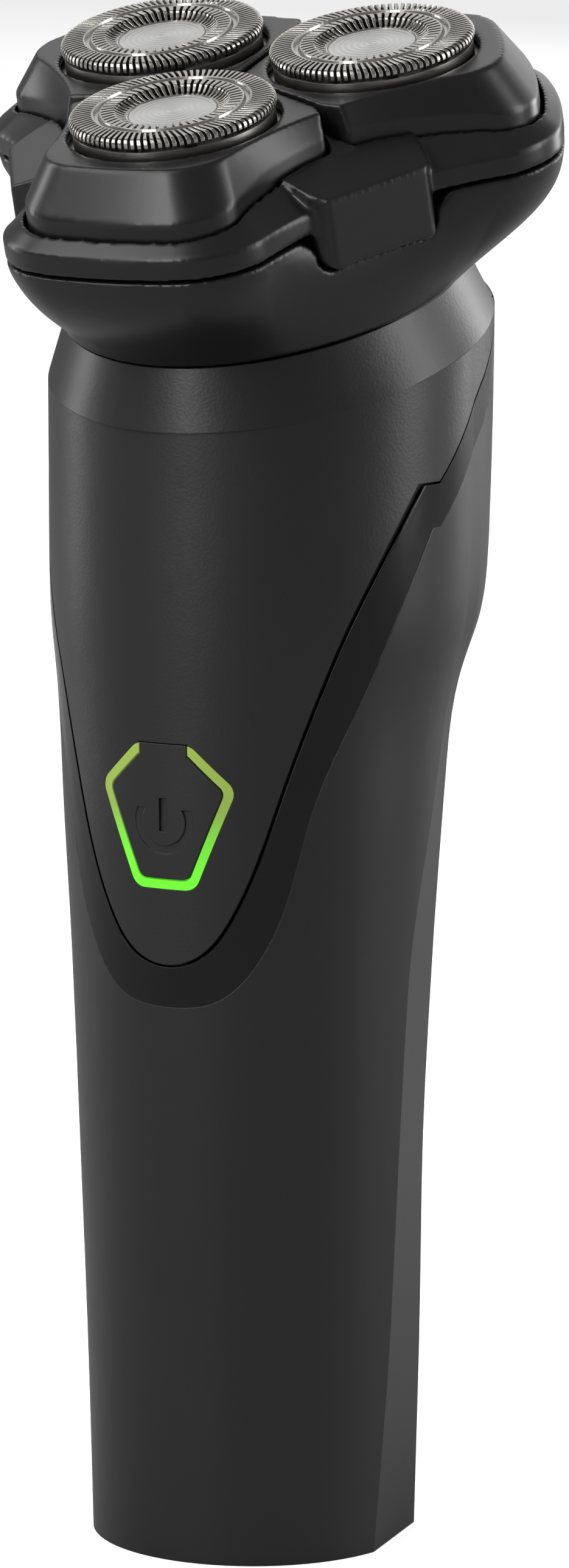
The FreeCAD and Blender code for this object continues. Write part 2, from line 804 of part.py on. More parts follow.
def grip_tabs():
    """The three grip tabs: a slope that ends in a ridge, then a flat face with slanted sides."""
    start, face_reach = dim("tab_slope_start") + 0.6, dim("tab_face")
    low, high = dim("tab_foot") - 1, dim("frame_crown") + 1
    plan = [(start, dim("tab_slope_half")), (dim("tab_edge"), dim("tab_edge_half")),
            (face_reach, dim("tab_face_half"))]
    corners = [Vector(reach, half, low) for reach, half in plan]
    corners += [Vector(reach, -half, low) for reach, half in reversed(plan)]
    body = Part.Face(Part.makePolygon(corners + corners[:1])).extrude(Vector(0, 0, high - low))
    face = tab_face(0.0)
    face.translate(Vector(start - 1, 0, 0))
    body = body.common(face.extrude(Vector(face_reach - start + 2, 0, 0)))
    fall = (dim("tab_ridge") - dim("tab_slope_high")) / (face_reach - dim("tab_slope_start"))
    side_view = [Vector(reach, -20, dim("tab_slope_high") + fall * (reach - dim("tab_slope_start")))
                 for reach in (start - 5, face_reach + 5)]
    side_view += [Vector(face_reach + 5, -20, 5), Vector(start - 5, -20, 5)]
    above = Part.Face(Part.makePolygon(side_view + side_view[:1])).extrude(Vector(0, 40, 0))
    behind = Part.makeBox(dim("tab_back") - start + 1, 40, dim("frame_foot") - low + 1,
                          Vector(start - 1, -20, low - 1))
    body = body.cut([above, behind])
    tabs = []
    for angle in tab_angles:
        tab = body.copy()
        tab.Placement = Placement(Vector(), Rotation(Vector(0, 0, 1), angle))
        tabs.append(tab)
    return tabs


def gap_wedge(grow, top_high, top_low):
    """The wedge between two petals' corners, its top sloping from its tip outwards."""
    half, back = dim("facet_half"), dim("facet_back")
    slant = math.atan2(half, back - dim("facet_tip"))
    tip = dim("facet_tip") - grow / math.sin(slant)
    reach = back + 2 * grow
    wide = (reach - tip) * math.tan(slant)
    low = dim("petal_foot") - 1.5
    corners = [Vector(tip, 0, low), Vector(reach, wide, low), Vector(reach, -wide, low)]
    body = Part.Face(Part.makePolygon(corners + corners[:1])).extrude(Vector(0, 0, 12))
    side_view = [Vector(tip - 1, -5, top_high), Vector(reach + 1, -5, top_low),
                 Vector(reach + 1, -5, 8), Vector(tip - 1, -5, 8)]
    above = Part.Face(Part.makePolygon(side_view + side_view[:1])).extrude(Vector(0, 10, 0))
    body = body.cut(above)
    wedges = []
    for angle in tab_angles:
        wedge = body.copy()
        wedge.Placement = Placement(Vector(), Rotation(Vector(0, 0, 1), angle))
        wedges.append(wedge)
    return wedges


# ---------------------------------------------------------------- motor and gear case

motor_can = rod("motor_radius", "motor_length", ("0", "0", "motor_top - motor_length"))
motor_boss = rod("3", "0.9", ("0", "0", "motor_top"))
motor_bore = rod("shaft_radius + 0.05", "motor_length", ("0", "0", "motor_top - motor_length + 12"))
motor_taps = [rod("0.8", "3", (across, "0", "motor_top - 1.2")) for across in ("-4.6", "4.6")]
node("motor_case", cut(fuse(motor_can, motor_boss), motor_bore, *motor_taps), head)

shaft = rod("shaft_radius", "motor_length - 13 - motor_top - 15.2",
            ("0", "0", "motor_top - motor_length + 13"))
node("motor_shaft", shaft, head)


def gear(label, teeth_alias, bore, turn):
    """A spur gear with involute flanks; its tooth count, module and bore are cells."""
    body = body_of(label)
    module = dim("gear_module")
    teeth = int(dim(teeth_alias))
    pitch_radius = module * teeth / 2
    root_radius = pitch_radius - 1.25 * module
    tip_radius = pitch_radius + module
    base_radius = pitch_radius * math.cos(math.radians(20))
    blank = sketch_on(body, "XY_Plane", label + "_blank")
    outside = blank.addGeometry(Part.Circle(Vector(), Vector(0, 0, 1), root_radius), False)
    inside = blank.addGeometry(Part.Circle(Vector(), Vector(0, 0, 1), value(bore)), False)
    root = "gear_module * (" + teeth_alias + " / 2 - 1.25)"
    for circle, formula in ((outside, root), (inside, bore)):
        blank.addConstraint(Sketcher.Constraint("Coincident", circle, 3, -1, 1))
        number = blank.addConstraint(Sketcher.Constraint("Radius", circle, value(formula)))
        blank.setExpression("Constraints[" + str(number) + "]", cells(formula))
    wheel = body.newObject("PartDesign::Pad", label + "_wheel")
    wheel.Profile = blank
    wheel.setExpression("Length", cells("gear_thick"))
    doc.recompute()

    def involute(radius):
        if radius <= base_radius:
            return 0.0
        roll = math.acos(base_radius / radius)
        return math.tan(roll) - roll

    half_tooth = (math.pi * module / 2 - dim("gear_backlash")) / 2 / pitch_radius
    flank = []
    low = max(root_radius - 0.05, 0.1)
    for step in range(7):
        radius = low + (tip_radius - low) * step / 6
        angle = half_tooth + involute(pitch_radius) - involute(radius)
        flank.append(Vector(radius * math.cos(angle), radius * math.sin(angle), 0))
    right = Part.BSplineCurve()
    right.interpolate(flank)
    mirrored = [Vector(point.x, -point.y, 0) for point in flank]
    left = Part.BSplineCurve()
    left.interpolate(mirrored)
    tooth = sketch_on(body, "XY_Plane", label + "_tooth_outline")
    tooth.addGeometry(right, False)
    tooth.addGeometry(Part.LineSegment(flank[-1], mirrored[-1]), False)
    tooth.addGeometry(left, False)
    tooth.addGeometry(Part.LineSegment(mirrored[0], flank[0]), False)
    one = body.newObject("PartDesign::Pad", label + "_tooth")
    one.Profile = tooth
    one.setExpression("Length", cells("gear_thick"))
    doc.recompute()
    ring_of(body, one, teeth_alias, label + "_teeth")
    foot = Vector(0, 0, dim("gear_top") - dim("gear_thick"))
    body.Placement = Placement(foot, Rotation(Vector(0, 0, 1), turn))
    return body


node("sun_gear", gear("sun_gear", "sun_teeth", "shaft_radius", lobe_angles["1"]), head)


def on_lobe(angle, thing):
    """A construction piece turned about the head axis onto one lobe."""
    holder = fuse_one(thing)
    holder.Placement = Placement(Vector(), Rotation(Vector(0, 0, 1), angle))
    return holder


def on_each_lobe(make):
    """Three copies of a construction piece, one on each lobe."""
    return [on_lobe(angle, make()) for angle in lobe_angles.values()]


pocket_radius = "planet_teeth * gear_module / 2 + gear_module + pocket_gap"
sun_pocket = "sun_teeth * gear_module / 2 + gear_module + pocket_gap"
case_high = "cover_top - cover_thick - case_foot"
case_blocks = on_each_lobe(lambda: rod(pocket_radius + " + case_wall", case_high,
                                       ("lobe_reach", "0", "case_foot")))
case_blocks.append(rod(sun_pocket + " + case_wall", case_high, ("0", "0", "case_foot")))
case_legs = on_each_lobe(lambda: rod("1.3", "case_foot - bowl_floor", ("18.2", "0", "bowl_floor")))
pockets = on_each_lobe(lambda: rod(pocket_radius, "8", ("lobe_reach", "0", "case_floor")))
pockets.append(rod(sun_pocket, "8", ("0", "0", "case_floor")))
pockets.append(rod("3.05", "4", ("0", "0", "case_foot - 1")))
axle_holes = on_each_lobe(lambda: rod("axle_radius", "2", ("lobe_reach", "0", "case_foot - 0.5")))
motor_screw_reach = ("-4.6", "4.6")
motor_screw_holes = []
for across in motor_screw_reach:
    shank_hole = rod("0.8", "2", (across, "0", "case_foot - 0.5"))
    head_hole = rod("1.3", "1", (across, "0", "case_floor - 0.5"))
    motor_screw_holes.append(fuse(shank_hole, head_hole))
gear_case = cut(fuse(*case_blocks, *case_legs), *pockets, *axle_holes, *motor_screw_holes)
node("gear_case", gear_case, head)
axle_high = "gear_top - 0.4 - case_foot"
axles = on_each_lobe(lambda: rod("axle_radius", axle_high, ("lobe_reach", "0", "case_foot")))
node("gear_axles", fuse(*axles), head)
motor_screws = []
for across in motor_screw_reach:
    shank = rod("0.8", "case_floor - 0.5 - motor_top + 1.2", (across, "0", "motor_top - 1.2"))
    screw_head = rod("1.3", "0.5", (across, "0", "case_floor - 0.5"))
    motor_screws.append(fuse(shank, screw_head))
node("motor_screws", fuse(*motor_screws), head)

cover_low = dim("cover_top") - dim("cover_thick")
cover_plate = solid(lobed_prism("bowl_middle", cover_low, dim("cover_top"), 1.9).cut(
    tab_openings(dim("tab_gap"), dim("tab_back") - 0.3, 30.0)))
cover_holes = on_each_lobe(lambda: rod("spindle_radius + 0.5", "4", ("lobe_reach", "0", "cover_top - 3")))
cover_screw_holes = on_each_lobe(lambda: rod("0.8", "4", ("-9.5", "0", "cover_top - 3")))
node("gear_cover", cut(cover_plate, *cover_holes, *cover_screw_holes), head)


def cover_screw():
    return fuse(rod("0.8", "cover_thick", ("-9.5", "0", "cover_top - cover_thick")),
                rod("1.6", "0.9", ("-9.5", "0", "cover_top")))


cover_screws = on_each_lobe(cover_screw)
node("cover_screws", fuse(*cover_screws), head)
seals = on_each_lobe(lambda: cut(rod("3.0", "1.0", ("lobe_reach", "0", "cover_top")),
                                 rod("spindle_radius + 0.12", "1.0", ("lobe_reach", "0", "cover_top"))))
node("spindle_seals", fuse(*seals), head)

# ---------------------------------------------------------------- bowl

bowl_rim = dim("bowl_rim")
bowl_shoulder = -12.5
bowl_stations = (("bowl_upper", bowl_shoulder, 1.0, 0.0), ("bowl_middle", -17.0, 1.02, 0.0),
                 ("bowl_lower", -20.4, 1.06, -0.1), ("bowl_foot", dim("bowl_foot"), 1.13, -0.2))


def bowl_skin(inset):
    rim = loft([lobed_wire("bowl_rim", bowl_rim, inset),
                lobed_wire("bowl_upper", bowl_shoulder, inset)], True)
    wires = []
    for name, high, stretch, shift in bowl_stations:
        wires.append(lobed_wire(name, high, inset, stretch, shift))
    return rim.fuse(loft(wires))


above_floor = Part.makeBox(90, 90, 30, Vector(-45, -45, dim("bowl_floor")))
bowl_inside = bowl_skin(dim("bowl_wall")).common(above_floor)
bowl_shape = bowl_skin(0.0).cut([bowl_inside] + tab_openings(dim("tab_gap"), 18.5, 30.0))
bowl_hole = rod("bowl_bore", "10", ("0", "0", "bowl_foot - 5"))
spigot = rod("spigot_radius", "bowl_floor - spigot_foot", ("0", "0", "spigot_foot"))
node("head_bowl", cut(fuse(solid(bowl_shape), spigot), bowl_hole), head)
seal_ring = cut(rod("collar_bore + 1.6", "0.25", ("0", "0", "collar_high + 0.02")),
                rod("spigot_radius + 0.05", "0.25", ("0", "0", "collar_high + 0.02")))
node("collar_seal", seal_ring, head)
bowl_magnets = [on_lobe(angle, rod("magnet_radius", "1.2", ("magnet_reach", "0", "cover_top")))
                for angle in tab_angles]
node("bowl_magnets", fuse(*bowl_magnets), head)

# ---------------------------------------------------------------- head frame

frame_foot = dim("frame_foot")
frame_shoulder = dim("frame_shoulder")
frame_wall = lobed_prism("frame", frame_foot, frame_shoulder)
frame_slope = loft([lobed_wire("frame", frame_shoulder), lobed_wire("crown", dim("frame_crown"))], True)
frame_opening = lobed_prism("base", dim("frame_floor"), dim("frame_crown") + 1, -dim("frame_gap"))
frame_through = lobed_prism("base", frame_foot - 5.0, dim("frame_crown") + 1, dim("frame_ledge"))
frame_shape = frame_wall.fuse([frame_slope] + grip_tabs()).cut([frame_opening, frame_through])
facet_top = dim("facet_top")
frame_shape = frame_shape.fuse(gap_wedge(0.0, facet_top, facet_top - 1.6))
bosses = []
for angle in lobe_angles.values():
    for side in ("boss_start", "-boss_end"):
        boss = box(("2.4", "boss_end - boss_start", "hinge_high + 1.2 - frame_floor + 0.5"),
                   ("hinge_reach - 1.2", side, "frame_floor - 0.5"))
        bosses.append(on_lobe(angle, boss))
pin_turn = Rotation(Vector(1, 0, 0), -90)
pin_holes = on_each_lobe(lambda: rod("pin_radius", "2 * boss_end + 2",
                                     ("hinge_reach", "-boss_end - 1", "hinge_high"), pin_turn))
magnet_holes = [on_lobe(angle, rod("magnet_radius + 0.03", "magnet_thick + 0.53",
                                   ("magnet_reach", "0", "frame_foot - 0.5")))
                for angle in tab_angles]
node("head_frame", cut(fuse(solid(frame_shape), *bosses), *pin_holes, *magnet_holes), head)
pins = on_each_lobe(lambda: rod("pin_radius", "2 * boss_end",
                                ("hinge_reach", "-boss_end", "hinge_high"), pin_turn))
node("petal_pins", fuse(*pins), head)
frame_magnets = [on_lobe(angle, rod("magnet_radius", "magnet_thick", ("magnet_reach", "0", "frame_foot")))
                 for angle in tab_angles]
node("frame_magnets", fuse(*frame_magnets), head)

plate_disc = solid(lobed_prism("base", frame_foot - 0.95, frame_foot - 0.05, 3.4))
guide_tubes = on_each_lobe(lambda: rod("4.4", "3.6", ("lobe_reach", "0", "frame_foot - 0.95")))
spokes = on_each_lobe(lambda: box(("22", "2.4", "0.9"), ("2", "-1.2", "frame_foot - 0.95")))
windows = on_each_lobe(lambda: rod("8.6", "3", ("lobe_reach", "0", "frame_foot - 2")))
tube_bores = on_each_lobe(lambda: rod("3.3", "6", ("lobe_reach", "0", "frame_foot - 2")))
node("retaining_plate", cut(fuse(cut(plate_disc, *windows), *guide_tubes, *spokes), *tube_bores), head)

# ---------------------------------------------------------------- petals, caps and cutters

petal_wall = dim("petal_wall")
petal_top, petal_foot = dim("petal_top"), dim("petal_foot")


def petal_tier(inset, drop):
    """The three petals as one: a slope from the flat top, cut off by an upright wall."""
    wires = [lobed_wire("top", petal_top - drop, inset), lobed_wire("cone", petal_foot - 0.1 - drop, inset)]
    slope = loft(wires, True)
    wall = lobed_prism("base", petal_foot - drop, petal_top - drop, inset)
    tier = slope.common(wall)
    tier.Placement = Placement(Vector(), Rotation(Vector(0, 0, 1), 90))
    return tier


def sector(inset):
    """A third of the head, its two flat sides drawn in by 'inset'."""
    apex = inset / math.sin(math.radians(60))
    reach = 50.0
    far = Vector(math.cos(math.radians(60)), math.sin(math.radians(60)), 0) * reach
    corners = [Vector(apex, 0, -15), Vector(apex + far.x, far.y, -15), Vector(reach + 30, far.y, -15),
               Vector(reach + 30, -far.y, -15), Vector(apex + far.x, -far.y, -15)]
    return Part.Face(Part.makePolygon(corners + corners[:1])).extrude(Vector(0, 0, 20))


def petal_block(inset):
    """One petal's outer shape, or its hollow, with the room for the frame's facets cut away."""
    wedges = gap_wedge(dim("frame_gap") + inset, 2.0, 2.0)
    for wedge in wedges:
        wedge.Placement = Placement(Vector(), Rotation(Vector(0, 0, 1), 90)).multiply(wedge.Placement)
    return petal_tier(inset, inset).common(sector(dim("petal_split") + inset)).cut(wedges)


petal_shape = petal_block(0.0)
petal_shell = petal_shape.cut(petal_block(petal_wall))


def petal():
    """One petal: its shell, the shelf under the cap's spring and the hinge lug."""
    shelf = cut(rod("12.6", "shelf_thick", ("lobe_reach", "0", "shelf_top - shelf_thick")),
                rod("shelf_bore", "shelf_thick", ("lobe_reach", "0", "shelf_top - shelf_thick")))
    lug = box(("hinge_reach - 21.9", "2 * lug_half", "2.6"),
              ("hinge_reach - 1.3", "-lug_half", "hinge_high - 1.3"))
    inside = common(fuse(shelf, lug), solid(petal_shape))
    bore = rod("petal_bore", "4", ("lobe_reach", "0", "petal_top - 2"))
    room = rod("flange_radius + 0.1", "petal_top - 1.1 - shelf_top", ("lobe_reach", "0", "shelf_top"))
    pin_bore = rod("pin_radius + pin_fit", "2 * lug_half + 4",
                   ("hinge_reach", "-lug_half - 2", "hinge_high"), pin_turn)
    return cut(fuse(solid(petal_shell), inside), bore, room, pin_bore)


def spring_ring():
    """The flat wave spring under the cap's flange."""
    return cut(rod("flange_radius - 0.3", "0.5", ("lobe_reach", "0", "shelf_top")),
               rod("shelf_bore + 0.1", "0.5", ("lobe_reach", "0", "shelf_top")))


def cap(label):
    """The slotted cap: rim, two tracks with a groove between them, and the dish."""
    wall = "cap_wall"
    top, inner = "cap_top", "cap_top - cap_wall"
    rim = "cap_radius"
    groove = "cap_top - groove_depth"
    lip = "cap_top - cap_rim_round - cap_lip"
    below_groove = groove + " - 0.3"
    corners = [
        (rim + " - " + wall, lip), (rim, lip),
        (rim, top + " - cap_rim_round"), (rim + " - cap_rim_round", top),
        ("groove_outer", top), ("groove_outer", groove),
        ("groove_inner", groove), ("groove_inner", top),
        ("dish_rim", top), ("disc_radius", "0"), ("disc_radius", "-disc_thick"),
        ("disc_radius + 0.3", "-disc_thick"), ("dish_rim + 0.45", inner),
        ("groove_inner - 0.3", inner), ("groove_inner - 0.3", below_groove),
        ("groove_outer + 0.3", below_groove), ("groove_outer + 0.3", inner),
        (rim + " - cap_rim_round - 0.1", inner), (rim + " - " + wall, top + " - cap_rim_round - 0.1"),
    ]
    body = turned(label, corners)
    tracks = (("outer", "groove_outer + 0.25", rim + " + 0.5", "cap_top - 1.4", "outer_slots"),
              ("inner", "dish_rim - 0.35", "groove_inner - 0.25", "0.3", "inner_slots"))
    for name, start, stop, low, count in tracks:
        sketch = sketch_on(body, "XZ_Plane", label + "_" + name + "_outline")
        outline = closed_outline(sketch, [(start, low), (stop, low), (stop, "3"), (start, "3")])
        doc.recompute()
        slot = body.newObject("PartDesign::Pocket", label + "_" + name + "_slot")
        slot.Profile = outline
        slot.Midplane = True
        slot.setExpression("Length", cells("slot_wide"))
        doc.recompute()
        ring_of(body, slot, count, label + "_" + name + "_slots")
    return body


def sleeve(label):
    """The steel sleeve under the cap, with the flange that keeps it in the petal."""
    wall = "0.35"
    low = "cap_top - cap_rim_round - cap_lip"
    flange = "sleeve_foot"
    corners = [("sleeve_radius - " + wall, low), ("sleeve_radius", low), ("sleeve_radius", flange),
               ("flange_radius", flange), ("flange_radius", flange + " - flange_thick"),
               ("sleeve_radius - " + wall, flange + " - flange_thick")]
    return turned(label, corners)


def cutter(label):
    """The blade wheel: a web with two rings of upright blades."""
    low = "web_top - web_thick"
    bore = "hub_radius + 0.05"
    corners = [(bore, low), ("web_radius", low), ("web_radius", "web_top"), (bore, "web_top")]
    body = turned(label, corners)
    for name in ("outer", "inner"):
        start, stop = name + "_blade_start", name + "_blade_end"
        sketch = sketch_on(body, "XZ_Plane", label + "_" + name + "_outline")
        foot = "web_top - 0.2"
        corners = [(start, foot), (stop, foot), (stop, "blade_top"), (start, "blade_top")]
        outline = closed_outline(sketch, corners)
        doc.recompute()
        blade = body.newObject("PartDesign::Pad", label + "_" + name + "_blade")
        blade.Profile = outline
        blade.Midplane = True
        blade.setExpression("Length", cells("blade_thick"))
        doc.recompute()
        ring_of(body, blade, "blade_count", label + "_" + name + "_blades")
    return body


def cutter_hub():
    """The plastic hub that the blade wheel is pressed on, with its hexagonal socket."""
    stem = rod("hub_radius", "web_top + 0.4 - hub_foot", ("0", "0", "hub_foot"))
    flange = rod("hub_flange_radius", "hub_flange_thick", ("0", "0", "hub_foot"))
    socket_hole = prism(6, "socket_flats", "socket_top - hub_foot + 1", ("0", "0", "hub_foot - 1"))
    return cut(fuse(stem, flange), socket_hole)


def spindle():
    """The drive spindle: a round shaft with a hexagonal tip."""
    shaft_part = rod("spindle_radius", "tip_foot - gear_top", ("0", "0", "gear_top"))
    tip = prism(6, "tip_flats", "tip_top - tip_foot + 0.5", ("0", "0", "tip_foot - 0.5"))
    axle_bore = rod("axle_radius + axle_fit", "1.2", ("0", "0", "gear_top - 1"))
    return cut(fuse(shaft_part, tip), axle_bore)


planet_turn = 180 + 180.0 / dim("planet_teeth")
for name in lobe_angles:
    on_cap = lobe(name).multiply(Placement(Vector(dim("lobe_reach"), 0, 0), Rotation()))
    node("petal_" + name, petal(), lobe(name))
    node("float_spring_" + name, spring_ring(), lobe(name))
    node("cap_" + name, cap("cap_" + name), on_cap)
    node("cap_disc_" + name, rod("disc_radius", "disc_thick", ("0", "0", "-disc_thick")), on_cap)
    node("cap_sleeve_" + name, sleeve("cap_sleeve_" + name), on_cap)
    node("cutter_" + name, cutter("cutter_" + name), on_cap)
    node("cutter_hub_" + name, cutter_hub(), on_cap)
    node("drive_spindle_" + name, spindle(), on_cap)
    planet = gear("planet_gear_" + name, "planet_teeth", "axle_radius + axle_fit", planet_turn)
    node("planet_gear_" + name, planet, on_cap)

# ---------------------------------------------------------------- check and write

doc.recompute()
problems = [thing.Name for thing in doc.Objects if "Invalid" in thing.State or "Error" in thing.State]
for label, thing in nodes.items():
    if thing.Shape.isNull() or not thing.Shape.isValid():
        problems.append(label)
if problems:
    raise RuntimeError("failed: " + ", ".join(problems))

os.makedirs("parts", exist_ok=True)
for label, thing in nodes.items():
    thing.Shape.exportStep(os.path.join("parts", label + ".step"))
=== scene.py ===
import json
import math

import bmesh
import bpy
from mathutils import Matrix, Vector


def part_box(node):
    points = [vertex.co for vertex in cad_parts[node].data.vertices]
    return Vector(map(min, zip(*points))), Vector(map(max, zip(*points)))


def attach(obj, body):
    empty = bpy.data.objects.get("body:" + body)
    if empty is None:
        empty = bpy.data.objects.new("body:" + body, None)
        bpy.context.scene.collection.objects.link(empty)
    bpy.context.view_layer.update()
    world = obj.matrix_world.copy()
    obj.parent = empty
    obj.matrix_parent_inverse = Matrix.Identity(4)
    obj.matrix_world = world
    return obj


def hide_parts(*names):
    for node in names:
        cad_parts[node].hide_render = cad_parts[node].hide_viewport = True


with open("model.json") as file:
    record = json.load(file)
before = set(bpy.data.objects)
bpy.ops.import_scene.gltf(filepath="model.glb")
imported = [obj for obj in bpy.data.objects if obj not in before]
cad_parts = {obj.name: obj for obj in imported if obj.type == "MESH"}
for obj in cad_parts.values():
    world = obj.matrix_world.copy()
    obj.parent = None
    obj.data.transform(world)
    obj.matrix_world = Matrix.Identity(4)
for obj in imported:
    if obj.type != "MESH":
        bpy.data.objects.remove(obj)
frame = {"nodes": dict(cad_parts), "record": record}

MM = 0.001
TAU = 2 * math.pi
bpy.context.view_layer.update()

# ---------------------------------------------------------------- the head's own frame

HEAD_CENTRE = Vector((0, -3.8, 151.7)) * MM
HEAD_TILT = math.radians(16.4)
HEAD = Matrix.Translation(HEAD_CENTRE) @ Matrix.Rotation(HEAD_TILT, 4, "X")
LOBE_REACH = 13.8 * MM
LOBE_ANGLES = {"1": -90, "2": 30, "3": 150}


def lobe_frame(name):
    """The frame of one cap: its centre on the disc plane, X outwards along the lobe."""
    turn = Matrix.Rotation(math.radians(LOBE_ANGLES[name]), 4, "Z")
    return HEAD @ turn @ Matrix.Translation((LOBE_REACH, 0, 0))


# ---------------------------------------------------------------- camera

CAMERA_TARGET = Vector((4.37, -1.52, 78.5)) * MM
CAMERA_AZIMUTH = math.radians(27.55)
CAMERA_ELEVATION = math.radians(9.58)
CAMERA_DISTANCE = 0.7435
LENS_LENGTH = 167.7
SENSOR_WIDTH = 36
CLIP_NEAR, CLIP_FAR = 0.05, 50

camera_data = bpy.data.cameras.new("camera")
camera_data.sensor_width = SENSOR_WIDTH
camera_data.lens = LENS_LENGTH
camera_data.clip_start = CLIP_NEAR
camera_data.clip_end = CLIP_FAR
camera = bpy.data.objects.new("camera", camera_data)
bpy.context.collection.objects.link(camera)
back = Vector((math.sin(CAMERA_AZIMUTH) * math.cos(CAMERA_ELEVATION),
               -math.cos(CAMERA_AZIMUTH) * math.cos(CAMERA_ELEVATION),
               math.sin(CAMERA_ELEVATION)))
camera.location = CAMERA_TARGET + back * CAMERA_DISTANCE
camera.rotation_euler = back.to_track_quat("Z", "Y").to_euler()
bpy.context.scene.camera = camera
bpy.context.scene.view_settings.view_transform = "Standard"

# ---------------------------------------------------------------- lights

WORLD_STRENGTH = 0.24


def area_light(name, place, size, power, aim=(0, 0, 0.08)):
    """A rectangular lamp aimed at a point; lengths in metres, power in watts."""
    data = bpy.data.lights.new(name, "AREA")
    data.shape = "RECTANGLE"
    data.size, data.size_y = size
    data.energy = power
    light = bpy.data.objects.new(name, data)
    bpy.context.collection.objects.link(light)
    light.location = place
    light.rotation_euler = (Vector(place) - Vector(aim)).to_track_quat("Z", "Y").to_euler()


area_light("key", (-0.55, -0.7, 0.95), (1.0, 0.8), 9)
area_light("overhead_back", (-0.68, 0.97, 1.05), (1.0, 0.8), 1.9)
area_light("front_strip", (-0.22, -1.0, 0.45), (0.14, 0.6), 4)
area_light("side_right", (0.9, 0.35, 0.35), (0.3, 0.9), 6)
area_light("side_left", (-0.9, 0.0, 0.35), (0.12, 0.8), 2.5)
area_light("back_right", (0.38, 1.1, 0.26), (0.3, 0.5), 3.2)
area_light("backdrop", (0.4, 1.7, 0.75), (3.0, 1.1), 9, aim=(0, 0, 0.3))

world = bpy.data.worlds.new("studio")
bpy.context.scene.world = world
world.use_nodes = True
sky = world.node_tree.nodes["Background"]
sky.inputs["Color"].default_value = (1, 1, 1, 1)
sky.inputs["Strength"].default_value = WORLD_STRENGTH

# ---------------------------------------------------------------- shader helpers


def put(tree, kind, inputs=None, **settings):
    """Add a shader node; an input is a number, a colour or another node's socket."""
    node = tree.nodes.new(kind)
    for key, value in settings.items():
        setattr(node, key, value)
    for key, value in (inputs or {}).items():
        if isinstance(value, bpy.types.NodeSocket):
            tree.links.new(value, node.inputs[key])
        else:
            node.inputs[key].default_value = value
    return node


def new_material(name, **sockets):
    """A material with its node tree and shader; a socket's name has _ for each space."""
    material = bpy.data.materials.new(name)
    material.use_nodes = True
    shader = material.node_tree.nodes["Principled BSDF"]
    for key, value in sockets.items():
        shader.inputs[key.replace("_", " ")].default_value = value
    return material, material.node_tree, shader


def noise(tree, where, scale, **inputs):
    """The outputs of a noise texture; over object coordinates, scale is cells per metre."""
    return put(tree, "ShaderNodeTexNoise", {"Vector": where, "Scale": scale, **inputs}).outputs


def spread(tree, factor, low, high):
    """A value from low to high as the factor goes from 0 to 1."""
    ends = {"Value": factor, "To Min": low, "To Max": high}
    return put(tree, "ShaderNodeMapRange", ends).outputs[0]


def tint(tree, factor, dark, light):
    """A colour between two others."""
    node = put(tree, "ShaderNodeMix", data_type="RGBA")
    tree.links.new(factor, node.inputs[0])
    node.inputs[6].default_value = (*dark, 1)
    node.inputs[7].default_value = (*light, 1)
    return node.outputs[2]


def bump_with_soft_edges(tree, shader, height, depth, edge):
    """Raise the surface by a height map over normals that are rounded at the edges."""
    soft_edge = put(tree, "ShaderNodeBevel", {"Radius": edge}, samples=4).outputs[0]
    bump = put(tree, "ShaderNodeBump", {"Strength": 1.0, "Distance": depth, "Height": height,
                                        "Normal": soft_edge})
    tree.links.new(bump.outputs[0], shader.inputs["Normal"])


# ---------------------------------------------------------------- floor

FLOOR_HALF_WIDTH = 6.0
FLOOR_LEVEL = -0.05 * MM
FLOOR_GLOW = 0.62
PAPER_REFLECTED = ((0.42, 0.42, 0.42), (0.46, 0.46, 0.46))
PAPER_SEEN = ((0.82, 0.82, 0.82), (0.86, 0.86, 0.86))


def paper_finish():
    """Matt paper: dark in reflections, paler and glowing where the camera sees it."""
    material, tree, shader = new_material("floor_paper", Roughness=0.9)
    shader.inputs["Specular IOR Level"].default_value = 0.0
    where = put(tree, "ShaderNodeTexCoord").outputs["Object"]
    fibre = noise(tree, where, 60.0, Detail=4.0)["Fac"]
    seen = put(tree, "ShaderNodeLightPath").outputs["Is Camera Ray"]
    paper = put(tree, "ShaderNodeMix", {0: seen}, data_type="RGBA")
    tree.links.new(tint(tree, fibre, *PAPER_REFLECTED), paper.inputs[6])
    tree.links.new(tint(tree, fibre, *PAPER_SEEN), paper.inputs[7])
    tree.links.new(paper.outputs[2], shader.inputs["Base Color"])
    shader.inputs["Emission Color"].default_value = (1, 1, 1, 1)
    tree.links.new(spread(tree, seen, 0.0, FLOOR_GLOW), shader.inputs["Emission Strength"])
    return material


floor_mesh = bpy.data.meshes.new("floor")
corners = [(x * FLOOR_HALF_WIDTH, y * FLOOR_HALF_WIDTH, FLOOR_LEVEL)
           for x, y in ((-1, -1), (1, -1), (1, 1), (-1, 1))]
floor_mesh.from_pydata(corners, [], [(0, 1, 2, 3)])
floor = bpy.data.objects.new("floor", floor_mesh)
bpy.context.collection.objects.link(floor)
floor_mesh.materials.append(paper_finish())

# ---------------------------------------------------------------- materials

CLOUD_SCALE = 90.0
PLASTIC_EDGE = 0.15 * MM
METAL_EDGE = 0.05 * MM
GUIDE_GLOW = 0.5


